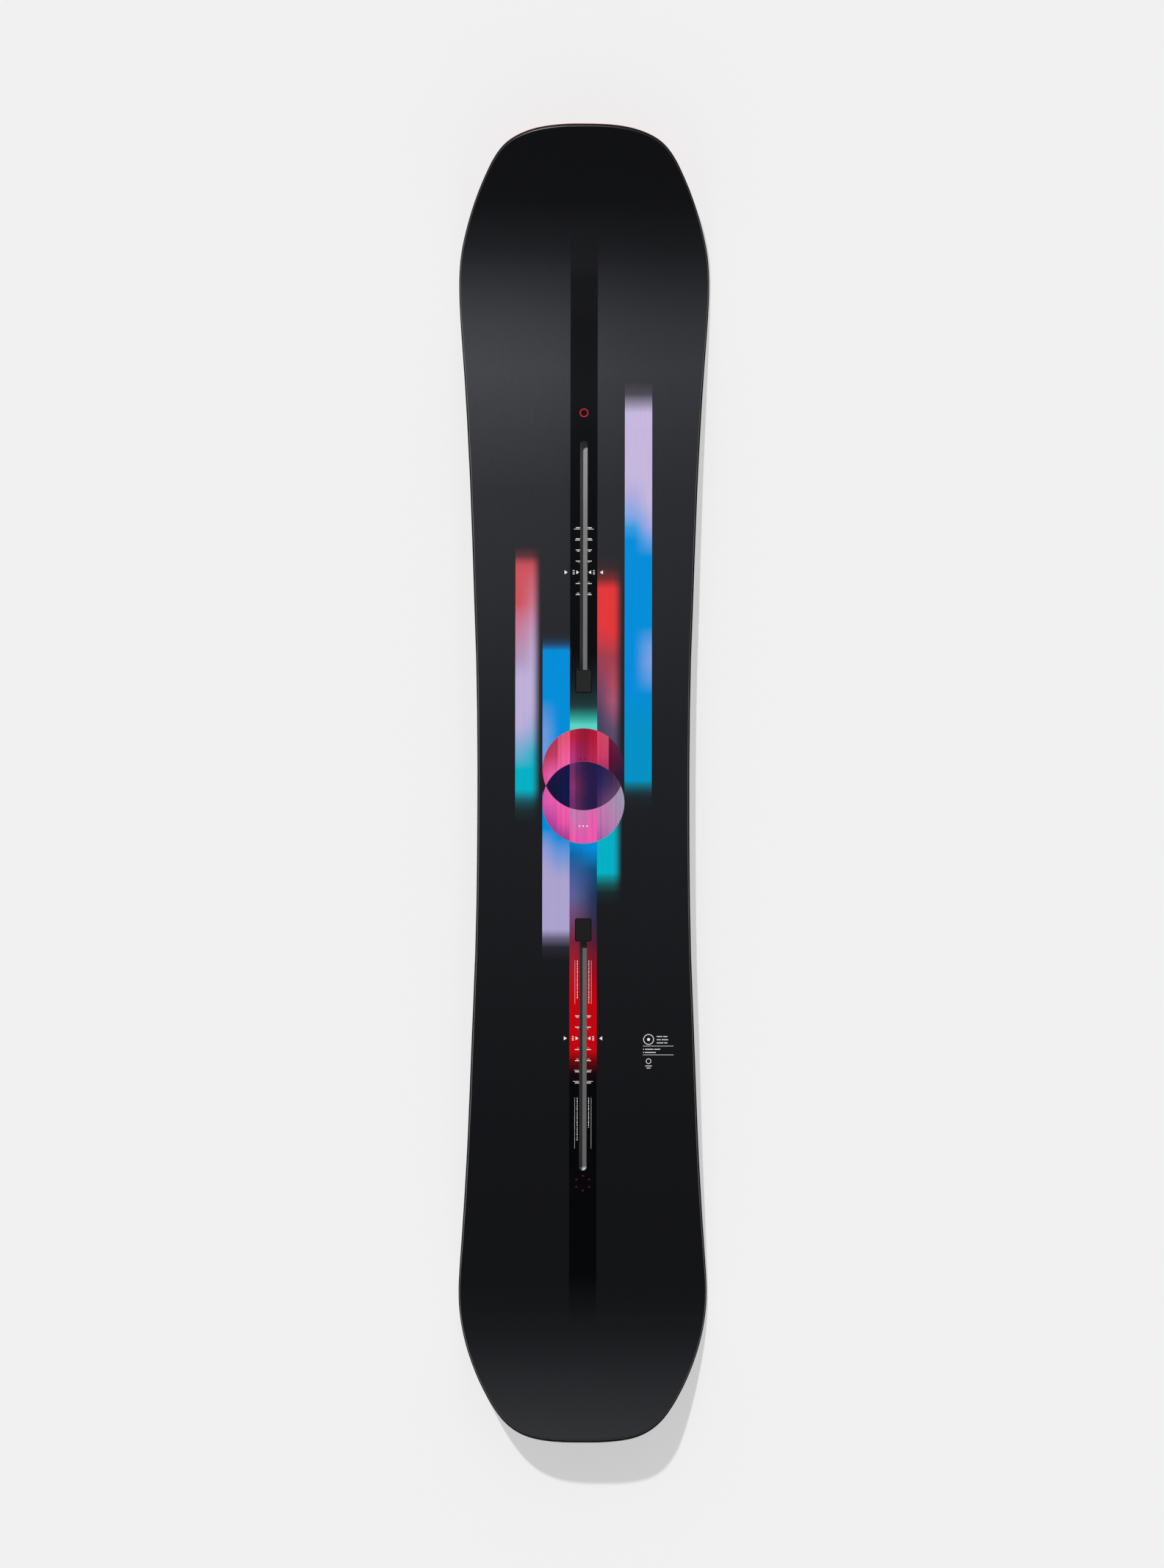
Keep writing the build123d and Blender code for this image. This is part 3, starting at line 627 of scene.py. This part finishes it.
class Print:
    """Thin raised ink on the deck, built from flat shapes in plan millimetres."""

    # Top of the ink above the deck, and its foot just under the deck's surface, in millimetres
    INK = 0.06
    ROOT = -0.02

    def __init__(self, name, material):
        self.name = name
        self.material = material
        self.mesh = bmesh.new()
        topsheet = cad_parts["topsheet"].data
        self.deck = BVHTree.FromPolygons(
            [v.co for v in topsheet.vertices], [p.vertices for p in topsheet.polygons]
        )

    def corner(self, x, y, lift):
        """A corner lift above the deck, found by a ray from straight above."""
        hit = self.deck.ray_cast(Vector((x * MM, y * MM, 1.0)), Vector((0, 0, -1)))[0]
        return self.mesh.verts.new((x * MM, y * MM, hit.z + lift * MM))

    def loops(self, points):
        """A loop of corners above the deck and one just inside it."""
        return [[self.corner(x, y, lift) for x, y in points] for lift in (self.INK, self.ROOT)]

    def wall(self, upper, lower, flip=False):
        """Faces between two loops, facing outwards, or inwards if flip is set."""
        count = len(upper)
        for k in range(count):
            j = (k + 1) % count
            face = [upper[k], lower[k], lower[j], upper[j]]
            self.mesh.faces.new(face[::-1] if flip else face)

    def shape(self, points):
        """A convex shape, its corners anticlockwise."""
        upper, lower = self.loops(points)
        self.mesh.faces.new(upper)
        self.mesh.faces.new(lower[::-1])
        self.wall(upper, lower)

    def box(self, x_from, x_to, y_from, y_to):
        """An upright rectangle."""
        self.shape([(x_from, y_from), (x_to, y_from), (x_to, y_to), (x_from, y_to)])

    def bar(self, side, near, far, y, height):
        """A box from near to far of the centre line on one side, centred on y."""
        x_from, x_to = sorted((side * near, side * far))
        self.box(x_from, x_to, y - height / 2, y + height / 2)

    def ring(self, outer, inner):
        """A band between two loops with as many corners, both anticlockwise."""
        outer_up, outer_low = self.loops(outer)
        inner_up, inner_low = self.loops(inner)
        count = len(outer)
        for k in range(count):
            j = (k + 1) % count
            self.mesh.faces.new([outer_up[k], outer_up[j], inner_up[j], inner_up[k]])
            self.mesh.faces.new([outer_low[j], outer_low[k], inner_low[k], inner_low[j]])
        self.wall(outer_up, outer_low)
        self.wall(inner_up, inner_low, flip=True)

    def words(self, x, y, lengths, height, gap, upright=False):
        """A row of short bars in place of a line of text. It runs down the board if upright."""
        for length in lengths:
            if upright:
                self.box(x, x + height, y - length, y)
                y -= length + gap
            else:
                self.box(x, x + length, y, y + height)
                x += length + gap

    def finish(self):
        """Make the object and let it ride on the board."""
        data = bpy.data.meshes.new(self.name)
        self.mesh.normal_update()
        self.mesh.to_mesh(data)
        self.mesh.free()
        data.materials.append(self.material)
        piece = bpy.data.objects.new(self.name, data)
        bpy.context.scene.collection.objects.link(piece)
        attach(piece, "board")


def circle(x, y, radius, count=28):
    """Corners of a round shape, anticlockwise."""
    turns = [2 * pi * k / count for k in range(count)]
    return [(x + radius * cos(turn), y + radius * sin(turn)) for turn in turns]


def stance_marks(material):
    """Ticks half an inch apart beside each slot, and arrows at the reference stance."""
    # Steps from the reference mark, each with where the bar that stands for its note begins and ends
    notes = {-2: (5.0, 7.8), -1: (5.3, 6.1), 1: (5.3, 6.1), 2: (5.0, 7.6), 3: (4.6, 9.9), 4: (4.6, 11.2)}
    note_shift = 1.7
    # Arrows as the tip's distance from the centre line, the depth and half the width
    arrows = ((5.3, 3.1, 2.1), (18.3, 3.5, 2.2))
    bar_spacing = 1.9
    for end, foot in (("nose", 1), ("tail", -1)):
        marks = Print(f"stance_marks_{end}", material)
        reference = STANCE_Y + foot * REFERENCE
        for side in (1, -1):
            for step, (note_from, note_to) in notes.items():
                y = reference + foot * step * STEP
                note_y = y - note_shift * foot * (1 if step > 0 else -1)
                marks.bar(side, SLOT_HALF + 0.2, SLOT_HALF + 4.9, y, 0.8)
                marks.bar(side, note_from, note_to, note_y, 0.5)
            for tip, depth, half in arrows:
                foot_x = side * (tip + depth)
                points = [(side * tip, reference), (foot_x, reference + half), (foot_x, reference - half)]
                marks.shape(points[::-1] if side > 0 else points)
            for k in (-1, 0, 1):
                marks.bar(side, 10.5, 12.5, reference + k * bar_spacing, 0.8)
        marks.finish()


def channel_notes(material):
    """Hairlines with rows of short bars beside the rear channel."""
    notes = Print("channel_notes", material)
    words = (1.6, 2.7, 1.1, 2.0, 3.0, 0.8, 1.7, 1.4, 2.3, 1.2, 2.6, 1.9, 0.9, 2.2, 1.5, 2.8, 1.3, 2.4)
    for top, length, rows in ((-201.3, 49.2, (16, 18)), (-357.3, 57.9, (18, 13))):
        for side, count in zip((-1, 1), rows):
            notes.bar(side, 9.2, 9.4, top - length / 2, length)
            notes.words(side * 6.5 - 0.3, top, words[:count], 0.6, 0.9, upright=True)
    notes.finish()


def badge(material):
    """A generic badge: two rings, two rules and rows of short bars."""
    marks = Print("deck_badge", material)
    x, y = 74.5, -290.9
    rules = (-298.4, -308.4)
    middle_words_y, small_ring_y, last_words_y = -302.4, -315.6, -321.4
    row_gap = 3.6
    marks.ring(circle(x, y, 6.0), circle(x, y, 5.3))
    marks.shape(circle(x, y, 1.7, 16))
    for row, words in enumerate(((6.2, 5.0), (4.6, 7.2), (7.4, 3.6))):
        marks.words(x + 9.2, y + 2.9 - row * row_gap, words, 0.8, 1.1)
    for line in rules:
        marks.box(x - 6.4, x + 28.4, line - 0.18, line + 0.18)
    for row, words in enumerate(((1.0, 9.4, 6.8), (1.0, 12.2))):
        marks.words(x - 6.2, middle_words_y - row * row_gap, words, 0.8, 1.1)
    marks.ring(circle(x, small_ring_y, 3.0), circle(x, small_ring_y, 2.4))
    for row, length in enumerate((7.6, 4.6)):
        marks.words(x - length / 2, last_words_y - row * 2.4, (length,), 0.7, 0)
    marks.finish()


def small_marks(white, red, maroon, plum):
    """A ring of dots near the tail, a plain red ring near the nose and dots on the discs."""
    tail_dots = Print("tail_dots", maroon)
    tail_dots_y, tail_dots_r = -454.6, 8.4
    for k in range(6):
        angle = pi * (k + 0.5) / 3
        tail_dots.shape(circle(tail_dots_r * cos(angle), tail_dots_y + tail_dots_r * sin(angle), 1.1, 12))
    tail_dots.finish()
    nose_ring = Print("red_marks", red)
    nose_ring_y = 421.2
    nose_ring.ring(circle(0, nose_ring_y, 5.0), circle(0, nose_ring_y, 3.8))
    nose_ring.finish()
    dark_dots = Print("disc_dots_dark", plum)
    dark_places = (
        (3.1, 11.4), (-3.3, 1.8), (3.1, 1.8), (-2.3, -6.5), (3.1, -10.1), (-3.5, 27.5), (2.2, 27.5),
    )
    for x, y in dark_places:
        dark_dots.shape(circle(x, y, 0.95, 12))
    dark_dots.finish()
    white_dots = Print("disc_dots_white", white)
    for x in (-4.4, -0.1, 4.2):
        white_dots.shape(circle(x, -48.6, 0.9, 12))
    white_dots.finish()


def floor_material():
    """Pale matte floor with a faint even glow."""
    shader = Shader("studio_floor", 0.9, 0.0)
    shader.colour((FLOOR_ALBEDO, FLOOR_ALBEDO, FLOOR_ALBEDO, 1))
    shader.surface.inputs["Emission Color"].default_value = (1, 1, 1, 1)
    shader.surface.inputs["Emission Strength"].default_value = FLOOR_GLOW
    return shader.material


def studio_floor():
    """The floor, which isn't part of the object."""
    bpy.ops.mesh.primitive_plane_add(size=FLOOR_SIZE)
    floor = bpy.context.object
    floor.name = "studio_floor"
    floor.data.materials.append(floor_material())


def key_light():
    """A low light from beyond the nose, on the left."""
    key = bpy.data.lights.new("key", "SUN")
    key.energy = KEY_STRENGTH
    key.angle = KEY_WIDTH
    lamp = bpy.data.objects.new("key", key)
    level = cos(KEY_ELEVATION)
    towards = Vector((-sin(KEY_LEFT_OF_NOSE) * level, cos(KEY_LEFT_OF_NOSE) * level, sin(KEY_ELEVATION)))
    lamp.rotation_euler = towards.to_track_quat("Z", "Y").to_euler()
    bpy.context.scene.collection.objects.link(lamp)


def studio_sky():
    """A sky whose level changes with the sine of the height above the horizon."""
    sky = bpy.data.worlds.new("studio_sky")
    bpy.context.scene.world = sky
    sky.use_nodes = True
    nodes, links = sky.node_tree.nodes, sky.node_tree.links
    nodes.clear()
    coordinates = nodes.new("ShaderNodeTexCoord")
    split = nodes.new("ShaderNodeSeparateXYZ")
    ramp = nodes.new("ShaderNodeValToRGB")
    ramp.color_ramp.interpolation = "EASE"
    fill_ramp(ramp.color_ramp, greys(*SKY_LEVELS))
    background = nodes.new("ShaderNodeBackground")
    output = nodes.new("ShaderNodeOutputWorld")
    links.new(coordinates.outputs["Generated"], split.inputs[0])
    links.new(split.outputs["Z"], ramp.inputs[0])
    links.new(ramp.outputs["Color"], background.inputs["Color"])
    links.new(background.outputs[0], output.inputs["Surface"])


def camera():
    """A camera looking straight down, with the frame's scale at the floor."""
    data = bpy.data.cameras.new("camera")
    data.sensor_width = SENSOR
    data.lens = SENSOR * CAMERA_HEIGHT * PIXELS_PER_METRE / FRAME_LONG_SIDE
    data.clip_end = 200
    view = bpy.data.objects.new("camera", data)
    view.location = (*CAMERA_PLACE, CAMERA_HEIGHT)
    view.rotation_euler = (0, 0, CAMERA_ROLL)
    bpy.context.scene.collection.objects.link(view)
    bpy.context.scene.camera = view


camera()
studio_floor()
key_light()
studio_sky()
finish_layers()
finish_channels()
white_ink = ink("white_ink", WHITE, tint=0.03)
stance_marks(white_ink)
channel_notes(white_ink)
badge(white_ink)
small_marks(
    white_ink, ink("red_ink", INK_RED), ink("maroon_ink", INK_MAROON), ink("plum_ink", INK_PLUM)
)
bpy.context.scene.view_settings.view_transform = "Standard"
